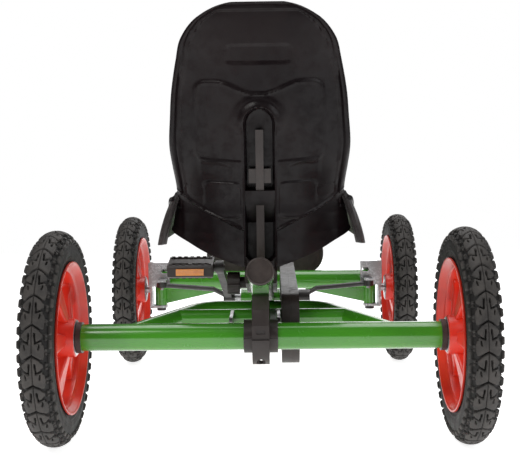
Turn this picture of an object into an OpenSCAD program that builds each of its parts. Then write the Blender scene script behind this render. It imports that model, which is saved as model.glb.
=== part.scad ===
// Child's pedal go kart: tube frame, bucket seat, four air tyres, chain drive
// to the rear axle and a rod-linked steering gear on a swinging front axle.
// +X is the driver's right, +Y is forward, +Z is up, and the origin is on the
// ground midway between the axles.

/* [Overall] */
// Distance from the rear axle to the front axle
wheelbase = 690; // [660:5:840]
// Distance between the middle planes of the rear wheels
rear_track = 602; // [590:2:740]
// Distance between the middle planes of the front wheels
front_track = 579; // [570:2:700]
// Outer diameter of every tyre
tyre_d = 318; // [300:2:390]

/* [Wheels] */
// Width of a tyre
tyre_w = 52; // [46:1:60]
// Height of a tyre from the rim seat to the tread
tyre_h = 51; // [46:1:60]
// Thickness of a tyre's casing
tyre_wall = 4.5; // [3:0.5:7]
// Thickness of a rim's barrel
rim_wall = 4.5; // [3:0.5:6]
// Number of spokes in a rim
spoke_count = 5; // [3:1:8]
// Width of a spoke at the rim
spoke_w = 38; // [24:1:46]
// Radius of a wheel hub
wheel_hub_r = 24; // [20:1:30]
// Reach of a wheel hub inboard of the wheel's middle plane
hub_inboard = 29; // [24:1:34]
// Reach of a wheel hub outboard of the wheel's middle plane
hub_outboard = 16; // [12:1:20]

/* [Tubes] */
// Outer diameter of the main tube and of the axle tubes
tube_d = 40; // [34:1:48]
// Wall of the frame tubes
tube_wall = 2.5; // [1.5:0.5:4]
// Outer diameter of the hoop behind the seat post
hoop_d = 28; // [22:1:32]
// Outer diameter of the cross tube
cross_d = 25; // [20:1:30]
// Distance of the cross tube ahead of the rear axle
cross_ahead = 135; // [128:1:150]
// Distance of the hoop's front ahead of the rear axle
hoop_ahead = 200; // [185:1:230]
// Height of the rear end of the main tube above the axle
rail_rise = 98; // [90:1:120]
// Slope of the seat rail, falling towards the front
rail_slope = 11.75; // [10:0.25:13]
// Length of the straight seat rail
rail_length = 320; // [300:5:360]

/* [Drive] */
// Distance of the crank axle ahead of the rear axle
crank_ahead = 465; // [455:5:480]
// Height of the crank axle above the wheel axles
crank_rise = 5; // [0:1:12]
// Length of a crank arm
crank_length = 105; // [90:1:112]
// Angle of the left crank arm at rest, from straight ahead
crank_rest = 140.5; // [0:0.5:180]
// Distance of the hub ahead of the rear axle
hub_ahead = 76; // [72:1:84]
// Height of the hub above the rear axle
hub_rise = 1; // [0:1:4]
// Pitch of both chains
chain_pitch = 12.7; // [12.7]
// Teeth on the chainring
chainring_teeth = 28; // [24:1:29]
// Teeth on the hub's input sprocket
hub_teeth = 20; // [16:1:21]
// Teeth on the hub's output sprocket
output_teeth = 14; // [12:1:14]
// Teeth on the axle sprocket
axle_teeth = 11; // [9:1:11]
// Distance of the long chain from the middle of the kart
chain_line = 44; // [42:1:46]
// Diameter of the rear axle
axle_d = 20; // [16:1:24]
// Diameter of the crank axle and of the hub axle
spindle_d = 16; // [12:1:18]
// Wall of the chain guard and of the chain case
guard_wall = 2.5; // [2:0.5:4]

/* [Steering] */
// Diameter of the kingpins
kingpin_d = 12; // [10:1:14]
// Distance of a kingpin inboard of the wheel's middle plane
kingpin_inset = 61.5; // [58:0.5:66]
// Length of the steering arms behind the kingpins
steer_arm = 68; // [62:1:74]
// Length of the drop arm on the steering column
drop_arm = 40; // [34:1:44]
// Lean of the steering column from upright
column_lean = 28; // [24:1:32]
// Diameter of the lower steering column
column_d = 22; // [20:1:25]
// Length of the lower steering column above its foot
column_length = 300; // [280:5:330]
// Distance from the column's foot to the steering wheel
wheel_reach = 431; // [420:5:460]
// Outer diameter of the steering wheel
steering_wheel_d = 290; // [240:5:320]
// Height of the front axle beam above the wheel axles
beam_rise = 18; // [14:1:24]

/* [Seat] */
// Thickness of the seat shell
seat_wall = 5; // [3:0.5:7]
// Width of the seat at its widest as a part of the drawn width
seat_width_factor = 1; // [0.9:0.05:1.15]
// Depth of the channel down the seat's back
channel_depth = 20; // [17:1:24]
// Half width of that channel
channel_half = 23; // [20:1:26]

/* [Clearances] */
// Radial running clearance of a shaft in its bore
run_gap = 0.06; // [0.02:0.01:0.1]
// Gap between a moving face and its neighbour
face_gap = 0.4; // [0.3:0.1:0.8]
// Gap between pieces that are fitted together
fit_gap = 0.1; // [0.05:0.05:0.3]

/* [Hidden] */
$fn = 96;

tyre_r = tyre_d / 2;
tube_r = tube_d / 2;
hoop_r = hoop_d / 2;
cross_r = cross_d / 2;
axle_r = axle_d / 2;
spindle_r = spindle_d / 2;
column_r = column_d / 2;
kingpin_r = kingpin_d / 2;
rear_y = -wheelbase / 2;
front_y = wheelbase / 2;
axle_z = tyre_r;
rim_seat_r = tyre_r - tyre_h;
rail_end = [0, rear_y - 30, axle_z + rail_rise];
crank_y = rear_y + crank_ahead;
crank_z = axle_z + crank_rise;
hub_y = rear_y + hub_ahead;
hub_z = axle_z + hub_rise;
cross_z = axle_z + 11;
hoop_z = axle_z + 15.5;
beam_z = axle_z + beam_rise;
kingpin_x = front_track / 2 - kingpin_inset;
rod_y = front_y - steer_arm;
column_foot = [0, front_y - 41, axle_z];
pivot_r = 6;
pivot_boss_r = 12;
head_r = column_r + 6;
head_bore_r = column_r + 2;
head_low = 8;
head_high = 100;
shell_r = tube_r - 4;
shell_left = -45;
shell_right = chain_line - 13.5;
guard_in = chain_line - 13;
guard_out = chain_line + 14;
guard_front_r = 68;
guard_rear_r = 54;
case_half = 12.5;
tube_inner_end = 8.5;
tube_outer_end = rear_track / 2 - 37;
left_arm_x = 57;
right_arm_x = guard_out + 9;
arm_hub_w = 22;
arm_splay = 15;
pedal_w = 84;
pedal_d = 68;
pedal_t = 28;
pedal_pin_r = 5;
pedal_tilt = 11;
stub_r = 8;
seat_y = rear_y;

seam = 0.1;

green = [0.28, 0.56, 0.13];
dark = [0.13, 0.12, 0.12];
red = [0.88, 0.18, 0.1];
zinc = [0.55, 0.56, 0.58];

// Radius of the circle that the chain's pins lie on
function pitch_r(teeth) = chain_pitch / (2 * sin(180 / teeth));

// A bar between two points
module bar(a, b, r) {
  v = b - a;
  translate(a) rotate([0, acos(v[2] / norm(v)), atan2(v[1], v[0])]) cylinder(h = norm(v), r = r);
}

// A bar along X
module bar_x(x0, x1, y, z, r) {
  translate([x0, y, z]) rotate([0, 90, 0]) cylinder(h = x1 - x0, r = r);
}

// A bar along Y
module bar_y(y0, y1, x, z, r) {
  translate([x, y1, z]) rotate([90, 0, 0]) cylinder(h = y1 - y0, r = r);
}

// A washer or tube along X
module ring_x(x0, x1, y, z, outer, inner) {
  difference() {
    bar_x(x0, x1, y, z, outer);
    bar_x(x0 - 1, x1 + 1, y, z, inner);
  }
}

// A side view, drawn as (Y, Z), made solid from x0 to x1
module side_plate(x0, x1) {
  translate([x0, 0, 0]) rotate([90, 0, 90]) linear_extrude(x1 - x0) children();
}

// A rear view, drawn as (X, Z), made solid from y0 to y1
module rear_plate(y0, y1) {
  translate([0, y1, 0]) rotate([90, 0, 0]) linear_extrude(y1 - y0) children();
}

// The same piece on the right (side = 1) or mirrored to the left (side = -1)
module on_side(side) {
  if (side > 0) children();
  else mirror([1, 0, 0]) children();
}

function unit(v) = v / norm(v);
function turn_at(p, i) = acos(unit(p[i] - p[i - 1]) * unit(p[i + 1] - p[i]));
function reach_at(p, i, bend) = (i <= 0 || i >= len(p) - 1) ? 0 : bend * tan(turn_at(p, i) / 2);

// The round elbow at corner i of a path
module elbow(p, i, bend, r) {
  a = unit(p[i] - p[i - 1]);
  b = unit(p[i + 1] - p[i]);
  inward = unit(b - a * (a * b));
  c = p[i] - a * reach_at(p, i, bend) + inward * bend;
  z = cross(-inward, a);
  multmatrix([[-inward[0], a[0], z[0], c[0]], [-inward[1], a[1], z[1], c[1]],
              [-inward[2], a[2], z[2], c[2]], [0, 0, 0, 1]])
    rotate_extrude(angle = turn_at(p, i)) translate([bend, 0]) circle(r);
}

// A round bar along a path with bent corners. Each elbow is a shade thicker
// than the straights, whose ends run a little way into it
module bent_bar(p, bend, r) {
  for (i = [0 : len(p) - 2]) let (d = unit(p[i + 1] - p[i]), run_in = 1.5)
    bar(p[i] + d * max(0, reach_at(p, i, bend) - run_in), p[i + 1] - d * max(0, reach_at(p, i + 1, bend) - run_in), r);
  for (i = [1 : 1 : len(p) - 2]) elbow(p, i, bend, r + seam);
}

// A round bar along a path, with a ball at each of its corners, a shade larger
// than the bar so that they cross on a clean circle
module path_bar(p, r) {
  for (i = [0 : len(p) - 2]) bar(p[i], p[i + 1], r);
  for (i = [1 : 1 : len(p) - 2]) translate(p[i]) sphere(r + seam);
}

// Outline of a belt round two circles, drawn as (Y, Z)
module belt(c1, r1, c2, r2) {
  gap = norm(c2 - c1);
  lean = atan2(c2[1] - c1[1], c2[0] - c1[0]);
  open = acos((r1 - r2) / gap);
  up = [cos(lean + open), sin(lean + open)];
  down = [cos(lean - open), sin(lean - open)];
  translate(c1) circle(r1);
  translate(c2) circle(r2);
  polygon([c1 + (r1 - seam) * up, c1 + (r1 - seam) * down, c2 + (r2 - seam) * down, c2 + (r2 - seam) * up]);
}

// A chain wheel lying at x, with straight-sided teeth
module sprocket(x, y, z, teeth, bore) {
  tip = pitch_r(teeth) + 2.2;
  root = pitch_r(teeth) - 4;
  step = 360 / teeth;
  side_plate(x - 1.5, x + 1.5) difference() {
    translate([y, z]) polygon([for (i = [0 : teeth - 1]) for (q = [[0.14, tip], [0.3, root], [0.7, root], [0.86, tip]])
      q[1] * [cos((i + q[0]) * step), sin((i + q[0]) * step)]]);
    translate([y, z]) circle(bore);
  }
}

// The closed loop of a chain round two chain wheels
module chain_loop(x, c1, t1, c2, t2, half) {
  side_plate(x - half, x + half) difference() {
    belt(c1, pitch_r(t1) + 4.7, c2, pitch_r(t2) + 4.7);
    belt(c1, pitch_r(t1) + 2.6, c2, pitch_r(t2) + 2.6);
  }
}

rail_foot = rail_end + rail_length * [0, cos(rail_slope), -sin(rail_slope)];
main_path = [rail_end, rail_foot, [0, crank_y - 35, crank_z], [0, front_y - 60, beam_z]];
hoop_path = [[-215, rear_y, axle_z - 2], [-100, rear_y + hoop_ahead, hoop_z],
             [100, rear_y + hoop_ahead, hoop_z], [215, rear_y, axle_z - 2]];

module head_cylinder(r, low, high) {
  translate(column_foot) rotate([column_lean, 0, 0]) translate([0, 0, low]) cylinder(h = high - low, r = r);
}

// Main tube: the seat rail at the back, level at the cranks, coped at the steering head
module main_tube() {
  inner = [rail_end + (rail_end - rail_foot) / 10, rail_foot, main_path[2], main_path[3] + [0, 10, 0]];
  color(green) difference() {
    path_bar(main_path, tube_r);
    path_bar(inner, tube_r - tube_wall);
    bar_x(-60, 60, crank_y, crank_z, shell_r + fit_gap / 2);
    head_cylinder(head_r, -60, head_high);
  }
}

// Things drawn along the seat rail: Y runs down the rail from its rear end
module on_rail() {
  translate(rail_end) rotate([-rail_slope, 0, 0]) children();
}

module tube_end_cap() {
  color(dark) on_rail() {
    difference() {
      union() {
        bar_y(-6, 0, 0, 0, tube_r + 0.7);
        bar_y(-0.5, 18, 0, 0, tube_r - tube_wall - fit_gap);
      }
      bar_y(-7, -4.8, 0, 0, tube_r - 2.5);
      bar_y(1, 19, 0, 0, tube_r - tube_wall - 3);
    }
  }
}

module rear_post() {
  color(green) difference() {
    side_plate(-case_half + 0.5, case_half - 0.5) polygon([
      [rear_y + 5, axle_z + 36.6], [rear_y + 32, axle_z + 38.3],
      [rear_y + 32, axle_z + 90], [rear_y + 5, axle_z + 95]]);
    bar(rail_end, rail_foot, tube_r);
  }
}

module rear_axle_tube(side) {
  color(green) on_side(side)
    ring_x(tube_inner_end, tube_outer_end, rear_y, axle_z, tube_r, tube_r - tube_wall);
}

// Hoop and cross tube, welded between the two rear axle tubes
module rear_hoop() {
  cross_x = 215 - 115 * cross_ahead / hoop_ahead;
  color(green) difference() {
    union() {
      bent_bar(hoop_path, 60, hoop_r);
      bar_x(-cross_x, cross_x, rear_y + cross_ahead, cross_z, cross_r);
    }
    bar_x(-240, 240, rear_y, axle_z, tube_r);
  }
}

axle_point = [rear_y, axle_z];
hub_point = [hub_y, hub_z];
case_axle_r = pitch_r(axle_teeth) + 6;
case_hub_r = pitch_r(output_teeth) + 6;
case_wall = 4.5;
tow_r = 3.2;
tow_length = 28;
tow_face_r = 6.5;
tow_z = axle_z - 35.6;
case_outer_axle_r = case_axle_r + 13;

module case_hollow() {
  side_plate(-8, 8) belt(axle_point, case_axle_r, hub_point, case_hub_r);
  bar_x(-30, 30, rear_y, axle_z, axle_r + 1);
  bar_x(-40, 40, rear_y, axle_z, 0.01 + tube_r - 8);
  for (side = [-1, 1]) on_side(side) bar_x(tube_inner_end - 0.6, 40, rear_y, axle_z, tube_r + fit_gap);
  bar_x(-30, 30, hub_y, hub_z, spindle_r + 1);
}

module case_flanges(z0, z1) {
  for (x = [-19, 19]) translate([x - 5.5, rear_y + 22, z0]) cube([11, 15, z1 - z0]);
}

// Upper half of the case round the short chain, with the strap up to the post
module chain_case_upper() {
  top = axle_z + 62;
  color(dark) difference() {
    union() {
      side_plate(-case_half, case_half) {
        belt(axle_point, case_axle_r + case_wall, hub_point, case_hub_r + case_wall);
        polygon([[rear_y - 38, axle_z], [rear_y - 37, axle_z + 20], [rear_y - 28, axle_z + 42],
                 [rear_y - 12, top - 2], [rear_y - 6, top], [rear_y + 4.6, top],
                 [rear_y + 4.6, axle_z + 20], [rear_y, axle_z]]);
      }
      bar_x(-25, 25, rear_y, axle_z, tube_r + 4.5);
      case_flanges(axle_z - 1, axle_z + 7);
    }
    case_hollow();
    translate([-60, rear_y - 80, axle_z - 80]) cube([120, 260, 80 + 0.2]);
    translate([-6, rear_y - 42, axle_z + 8]) cube([12, 7, 6]);
    for (x = [-19, 19]) translate([x, rear_y + 31, axle_z - 20]) cylinder(h = 40, r = 3 + fit_gap);
  }
}

// Lower half, with the tow-bar lug and its spot-faced bolt hole under the axle
module chain_case_lower() {
  color(dark) difference() {
    union() {
      side_plate(-case_half, case_half) {
        belt(axle_point, case_axle_r + case_wall, hub_point, case_hub_r + case_wall);
        translate(axle_point) circle(case_outer_axle_r);
      }
      bar_x(-25, 25, rear_y, axle_z, tube_r + 4.5);
      case_flanges(axle_z - 7, axle_z + 1);
    }
    case_hollow();
    translate([-60, rear_y - 80, axle_z - 0.2]) cube([120, 260, 80]);
    for (x = [-19, 19]) translate([x, rear_y + 31, axle_z - 20]) cylinder(h = 40, r = 3 + fit_gap);
    bar_y(rear_y - 60, rear_y + 60, 0, tow_z, tow_r);
    for (side = [-1, 1]) translate([0, rear_y + side * (tow_length / 2 + 20), tow_z])
      rotate([90, 0, 0]) cylinder(h = 40, r = tow_face_r, center = true);
  }
}

module chain_case_bolts() {
  color(zinc) for (x = [-19, 19]) translate([x, rear_y + 31, axle_z]) {
    translate([0, 0, -7]) cylinder(h = 14, r = 3);
    translate([0, 0, 7]) cylinder(h = 3.5, r = 5);
    translate([0, 0, -11]) cylinder(h = 4, r = 5, $fn = 6);
  }
}

module rear_bearings() {
  color(zinc) for (side = [-1, 1]) on_side(side) {
    ring_x(12, 22, rear_y, axle_z, tube_r - tube_wall - fit_gap / 2, axle_r + run_gap);
    ring_x(tube_outer_end - 12, tube_outer_end - 1, rear_y, axle_z, tube_r - tube_wall - fit_gap / 2, axle_r + run_gap);
  }
}

module axle_seals() {
  color(dark) for (side = [-1, 1]) on_side(side)
    ring_x(tube_outer_end, tube_outer_end + 7.4, rear_y, axle_z, tube_r + 3, axle_r + 0.5);
}

module hub_bracket() {
  color(zinc) difference() {
    union() for (x = [-50, shell_right - 6.5]) side_plate(x, x + 5) {
      translate(hub_point) circle(17);
      polygon([[hub_y, hub_z - 17], [rear_y + cross_ahead, cross_z - 10],
               [rear_y + cross_ahead, cross_z + 11.5], [hub_y, hub_z + 17]]);
    }
    bar_x(-60, 60, rear_y + cross_ahead, cross_z, cross_r);
    bar_x(-60, 60, hub_y, hub_z, spindle_r + run_gap);
  }
}

crank_point = [crank_y, crank_z];
guard_screw_points = [[rear_y + 260, axle_z + 3], [rear_y + 340, axle_z + 4]];

module guard_holes() {
  bar_x(guard_in - 1, guard_out + 1, rear_y + cross_ahead, cross_z, cross_r + 1);
  bar_x(guard_in - 1, guard_out + 1, rear_y + hoop_ahead, hoop_z, hoop_r + 1);
  for (p = guard_screw_points) bar_x(guard_in - 1, guard_out + 1, p[0], p[1], 2.5 + fit_gap);
}

module guard_half(x0, x1, wall_x) {
  inner_front = guard_front_r - guard_wall;
  inner_rear = guard_rear_r - guard_wall;
  difference() {
    union() {
      difference() {
        side_plate(x0, x1) belt(hub_point, guard_rear_r, crank_point, guard_front_r);
        side_plate(x0 - 1, x1 + 1) belt(hub_point, inner_rear, crank_point, inner_front);
      }
      side_plate(wall_x, wall_x + guard_wall)
        belt(hub_point, guard_rear_r - 1, crank_point, guard_front_r - 1);
      for (p = guard_screw_points) bar_x(x0, x1, p[0], p[1], 6);
    }
    guard_holes();
    bar_x(guard_in - 1, guard_out + 1, crank_y, crank_z, spindle_r + 6);
  }
}

module chain_guard_inner() {
  color(dark) difference() {
    guard_half(guard_in, chain_line + 0.4, guard_in);
    bar_x(guard_in - 1, guard_in + 6, hub_y, hub_z, spindle_r + 4);
  }
}

module chain_guard_outer() {
  color(dark) guard_half(chain_line + 0.5, guard_out, guard_out - guard_wall);
}

module guard_screws() {
  color(zinc) for (p = guard_screw_points) {
    bar_x(guard_in + 1, guard_out, p[0], p[1], 2.5);
    bar_x(guard_out, guard_out + 2.4, p[0], p[1], 5);
  }
}

module long_chain() {
  color(dark) chain_loop(chain_line, hub_point, hub_teeth, crank_point, chainring_teeth, 3);
}

module short_chain() {
  color(dark) chain_loop(0, axle_point, axle_teeth, hub_point, output_teeth, 3);
}

module bottom_bracket_shell() {
  color(green) ring_x(shell_left, shell_right, crank_y, crank_z, shell_r, shell_r - 3);
}

module crank_bearings() {
  color(zinc) {
    ring_x(shell_left + 1, shell_left + 12, crank_y, crank_z, shell_r - 3 - fit_gap / 2, spindle_r + run_gap);
    ring_x(shell_right - 12, shell_right - 1, crank_y, crank_z, shell_r - 3 - fit_gap / 2, spindle_r + run_gap);
  }
}

fairing_r = 220;
fairing_face_y = front_y + 75;
fairing_low = axle_z + 17;
fairing_high = axle_z + 171;
bracket_front_y = fairing_face_y - 24;
beam_back_y = front_y - tube_r;

// Steering head tube with the pivot boss and the nose bracket
module steering_head() {
  color(green) difference() {
    union() {
      head_cylinder(head_r, head_low, head_high);
      bar_y(front_y - 50, beam_back_y - 1, 0, beam_z, pivot_boss_r);
      side_plate(-15, 15) polygon([
        [front_y - 76, axle_z + 56], [bracket_front_y - 4, axle_z + 56], [bracket_front_y - 4, axle_z + 48],
        [bracket_front_y, axle_z + 48], [bracket_front_y, axle_z + 76], [bracket_front_y - 4, axle_z + 76],
        [bracket_front_y - 4, axle_z + 60], [front_y - 76, axle_z + 60]]);
    }
    head_cylinder(head_bore_r, -60, head_high + 60);
  }
}

module steering_bushes() {
  color(dark) difference() {
    union() {
      head_cylinder(head_bore_r - fit_gap / 2, head_low + 1, head_low + 14);
      head_cylinder(head_bore_r - fit_gap / 2, head_high - 14, head_high - 1);
    }
    head_cylinder(column_r + run_gap, 0, head_high + 20);
  }
}

// Bowed panel in front of the steering head
module nose_fairing() {
  half_w = 130;
  color(dark) intersection() {
    difference() {
      union() {
        translate([0, fairing_face_y - fairing_r, fairing_low])
          difference() {
            cylinder(h = fairing_high - fairing_low, r = fairing_r, $fn = 180);
            translate([0, 0, -1]) cylinder(h = fairing_high - fairing_low + 2, r = fairing_r - 4, $fn = 180);
          }
        translate([-24, bracket_front_y, axle_z + 46]) cube([48, 22, 32]);
      }
      rear_plate(fairing_face_y - 90, fairing_face_y + 10) polygon([
        [-half_w + 1, fairing_low - 1], [-60, fairing_low - 1], [-half_w + 1, fairing_low + 10]]);
    }
    rear_plate(bracket_front_y - 30, fairing_face_y + 1) polygon([
      [-half_w, fairing_low + 10], [-60, fairing_low], [60, fairing_low], [half_w, fairing_low + 10],
      [half_w, fairing_high - 60], [half_w - 30, fairing_high - 10], [60, fairing_high],
      [-60, fairing_high], [-half_w + 30, fairing_high - 10], [-half_w, fairing_high - 60]]);
  }
}

module front_pivot_pin() {
  color(zinc) {
    bar_y(beam_back_y - 1, front_y + tube_r + 14, 0, beam_z, pivot_r);
    translate([0, front_y + tube_r + 1 + face_gap, beam_z]) rotate([-90, 0, 0]) cylinder(h = 8, r = 11, $fn = 6);
  }
}

module crank_axle() {
  color(zinc) bar_x(-left_arm_x - arm_hub_w, right_arm_x + arm_hub_w, crank_y, crank_z, spindle_r);
}

module chainring() {
  color(dark) difference() {
    union() {
      sprocket(chain_line, crank_y, crank_z, chainring_teeth, spindle_r + 2);
      bar_x(chain_line - 8, chain_line + 8, crank_y, crank_z, spindle_r + 5);
    }
    bar_x(0, 100, crank_y, crank_z, spindle_r + fit_gap / 2);
    for (a = [0 : 72 : 359]) translate([0, crank_y + 33 * cos(a), crank_z + 33 * sin(a)])
      bar_x(chain_line - 5, chain_line + 5, 0, 0, 11);
  }
}

function crank_angle(side) = side < 0 ? crank_rest : crank_rest - 180;
function arm_x(side) = side < 0 ? left_arm_x : right_arm_x;

// Things drawn on a crank arm: Y runs along the arm, X away from the kart
module on_crank(side) {
  translate([0, crank_y, crank_z]) rotate([crank_angle(side), 0, 0]) on_side(side) children();
}

module crank_arm(side) {
  x0 = arm_x(side);
  x1 = x0 + arm_splay;
  color(dark) on_crank(side) difference() {
    union() {
      bar_x(x0, x0 + arm_hub_w, 0, 0, 15);
      bar_x(x1 + 2, x1 + 17, crank_length, 0, 12);
      translate([0, 0, -9]) linear_extrude(18) polygon([
        [x0 + 4, 0], [x1 + 3, crank_length], [x1 + 16, crank_length], [x0 + 18, 0]]);
    }
    bar_x(x0 - 1, x0 + arm_hub_w + 1, 0, 0, spindle_r + fit_gap / 2);
    bar_x(x1 - 5, x1 + 20, crank_length, 0, pedal_pin_r + run_gap);
  }
}

// Middle of a pedal's pin, and things drawn about it with the pedal level
module on_pedal(side) {
  a = crank_angle(side);
  translate([0, crank_y + crank_length * cos(a), crank_z + crank_length * sin(a)])
    rotate([pedal_tilt, 0, 0]) on_side(side) children();
}

module pedal(side) {
  x0 = arm_x(side) + arm_splay + 17 + 4;
  window_y = (pedal_d / 2 - 7 + 13) / 2;
  color(dark) on_pedal(side) {
    difference() {
      union() {
        side_plate(x0, x0 + pedal_w) polygon([
          [-pedal_d / 2, -9], [-pedal_d / 2 + 4, -pedal_t / 2 + 2], [pedal_d / 2 - 4, -pedal_t / 2 + 2],
          [pedal_d / 2, -9], [pedal_d / 2, 9], [pedal_d / 2 - 4, pedal_t / 2 - 2],
          [-pedal_d / 2 + 4, pedal_t / 2 - 2], [-pedal_d / 2, 9]]);
        for (y = [-1, 1]) for (z = [-1, 1]) for (i = [0 : 6])
          translate([x0 + 3 + i * (pedal_w - 13) / 6, y * (pedal_d / 2 - 11) - 5, z * (pedal_t / 2 - 1.5) - 1.5])
            cube([7, 10, 3]);
      }
      for (y = [-1, 1]) for (x = [x0 + 7, x0 + pedal_w / 2 + 3])
        translate([x, y * window_y - 6, -pedal_t]) cube([pedal_w / 2 - 10, 12, 2 * pedal_t]);
      for (y = [-1, 1]) translate([x0 + 16, y * (pedal_d / 2 + 3) - 5, -6.5]) cube([52, 10, 13]);
      bar_x(x0 - 20, x0 + pedal_w - 8, 0, 0, pedal_pin_r + fit_gap / 2);
    }
    bar_x(x0 - 21, x0 + pedal_w - 8.2, 0, 0, pedal_pin_r);
    ring_x(x0 - 4 + face_gap, x0, 0, 0, 9, pedal_pin_r);
  }
}

module reflectors(side) {
  x0 = arm_x(side) + arm_splay + 17 + 4;
  color("orange") on_pedal(side) for (y = [-1, 1])
    translate([x0 + 16.3, y * (pedal_d / 2) - 1.8 + y * 0.05, -6.2]) cube([51.4, 3.6, 12.4]);
}

module hub_drum() {
  color(dark) {
    bar_x(-52, chain_line + 4, hub_y, hub_z, spindle_r);
    ring_x(case_half + 1, shell_right - 7.5, hub_y, hub_z, 30, spindle_r - 1);
  }
}

module hub_sprockets() {
  color(zinc) {
    sprocket(chain_line, hub_y, hub_z, hub_teeth, spindle_r + fit_gap / 2);
    sprocket(0, hub_y, hub_z, output_teeth, spindle_r + fit_gap / 2);
  }
}

module rear_axle_shaft() {
  half = rear_track / 2 + hub_outboard + 8;
  color(zinc) bar_x(-half, half, rear_y, axle_z, axle_r);
}

module axle_sprocket() {
  color(zinc) difference() {
    union() {
      sprocket(0, rear_y, axle_z, axle_teeth, axle_r + 2);
      bar_x(-5, 5, rear_y, axle_z, axle_r + 4.5);
    }
    bar_x(-10, 10, rear_y, axle_z, axle_r + fit_gap / 2);
  }
}

// A flanged dome nut on a shaft's end, its inner face at x
module wheel_nut(x, y, bore) {
  difference() {
    union() {
      bar_x(x, x + 2, y, axle_z, bore + 7);
      translate([x + 2, y, axle_z]) rotate([0, 90, 0]) cylinder(h = 6, r = bore + 5, $fn = 6);
      bar_x(x + 8, x + 10, y, axle_z, bore + 2);
    }
    bar_x(x - 1, x + 8.2, y, axle_z, bore + fit_gap / 2);
  }
}

module rear_axle_nuts() {
  color(zinc) for (side = [-1, 1]) on_side(side)
    wheel_nut(rear_track / 2 + hub_outboard + face_gap, rear_y, axle_r);
}

// Things drawn on a wheel: Z runs outboard from the wheel's middle plane
module on_wheel(x, y, side) {
  translate([side * x, y, axle_z]) rotate([0, side * 90, 0]) children();
}

module rim(x, y, side, bore) {
  r = rim_seat_r;
  flange = tyre_w / 2 - 2;
  slot_in = wheel_hub_r + 14;
  slot_out = r - rim_wall - 8;
  color(red) on_wheel(x, y, side) difference() {
    union() {
      rotate_extrude($fn = 180) {
        polygon([[r + 5, -flange], [r + 5, -flange + 3.2], [r - 0.4, -flange + 5], [r - 0.4, flange - 5],
                 [r + 5, flange - 3.2], [r + 5, flange], [r + 2, flange], [r - rim_wall, flange - 6],
                 [r - rim_wall, -flange + 6], [r + 2, -flange]]);
        polygon([[bore, -hub_inboard], [wheel_hub_r, -hub_inboard], [wheel_hub_r + 6, hub_outboard - 14],
                 [wheel_hub_r + 3, hub_outboard], [bore, hub_outboard]]);
        polygon([[wheel_hub_r, hub_outboard - 14], [r - rim_wall + 1, 2], [r - rim_wall + 1, 9],
                 [wheel_hub_r, hub_outboard - 4]]);
      }
    }
    translate([0, 0, -60]) cylinder(h = 120, r = bore);
    for (i = [0 : spoke_count - 1]) rotate([0, 0, 180 / spoke_count + i * 360 / spoke_count])
      translate([0, 0, -3]) linear_extrude(22) intersection() {
        difference() {
          circle(slot_out);
          circle(slot_in);
        }
        polygon([[slot_in - 8, 0], [slot_out + 20, (slot_out + 20) * tan(180 / spoke_count) - spoke_w / 2],
                 [slot_out + 20, -(slot_out + 20) * tan(180 / spoke_count) + spoke_w / 2]]);
      }
  }
}

module tyre(x, y, side) {
  r = rim_seat_r;
  mid = tyre_r - tyre_w / 2;
  color(dark) on_wheel(x, y, side) rotate_extrude($fn = 180) difference() {
    union() {
      translate([mid, 0]) circle(tyre_w / 2);
      polygon([[r, -tyre_w / 2 + 7.4], [r + 10, -tyre_w / 2 + 4], [r + 10, tyre_w / 2 - 4], [r, tyre_w / 2 - 7.4]]);
    }
    translate([mid, 0]) circle(tyre_w / 2 - tyre_wall);
    translate([r - 5, -tyre_w / 2 + 12]) square([20, tyre_w - 24]);
  }
}

boss_low = axle_z - 35;
boss_high = axle_z + 39;
boss_r = kingpin_r + 7;

// Front axle: a beam with a pivot sleeve, gussets and two kingpin tubes
module front_axle_beam() {
  color(green) difference() {
    union() {
      bar_x(-kingpin_x, kingpin_x, front_y, beam_z, tube_r);
      for (side = [-1, 1]) on_side(side) {
        translate([kingpin_x, front_y, boss_low]) cylinder(h = boss_high - boss_low, r = boss_r);
        rear_plate(front_y - 3, front_y + 3) polygon([
          [kingpin_x - 140, beam_z], [kingpin_x - 140, beam_z - 21], [kingpin_x - 8, boss_low + 3], [kingpin_x - 8, beam_z]]);
      }
      bar_y(beam_back_y - 1 + face_gap, front_y + tube_r + 1, 0, beam_z, pivot_r + 7);
    }
    difference() {
      bar_x(-kingpin_x + 15, kingpin_x - 15, front_y, beam_z, tube_r - tube_wall);
      bar_y(beam_back_y - 2, front_y + tube_r + 2, 0, beam_z, pivot_r + 7);
    }
    bar_y(beam_back_y - 5, front_y + tube_r + 5, 0, beam_z, pivot_r + run_gap);
    for (side = [-1, 1]) translate([side * kingpin_x, front_y, boss_low - 1])
      cylinder(h = boss_high - boss_low + 2, r = kingpin_r + run_gap);
  }
}

ear_t = 5;

module kingpins() {
  color(dark) for (side = [-1, 1]) translate([side * kingpin_x, front_y, 0]) {
    translate([0, 0, boss_low - ear_t - 2 * face_gap]) cylinder(h = boss_high - boss_low + 2 * ear_t + 4 * face_gap, r = kingpin_r);
    translate([0, 0, boss_high + ear_t + 2 * face_gap]) cylinder(h = 5, r = kingpin_r + 4, $fn = 6);
    translate([0, 0, boss_low - ear_t - 2 * face_gap - 6]) cylinder(h = 6, r = kingpin_r + 4);
  }
}

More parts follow.
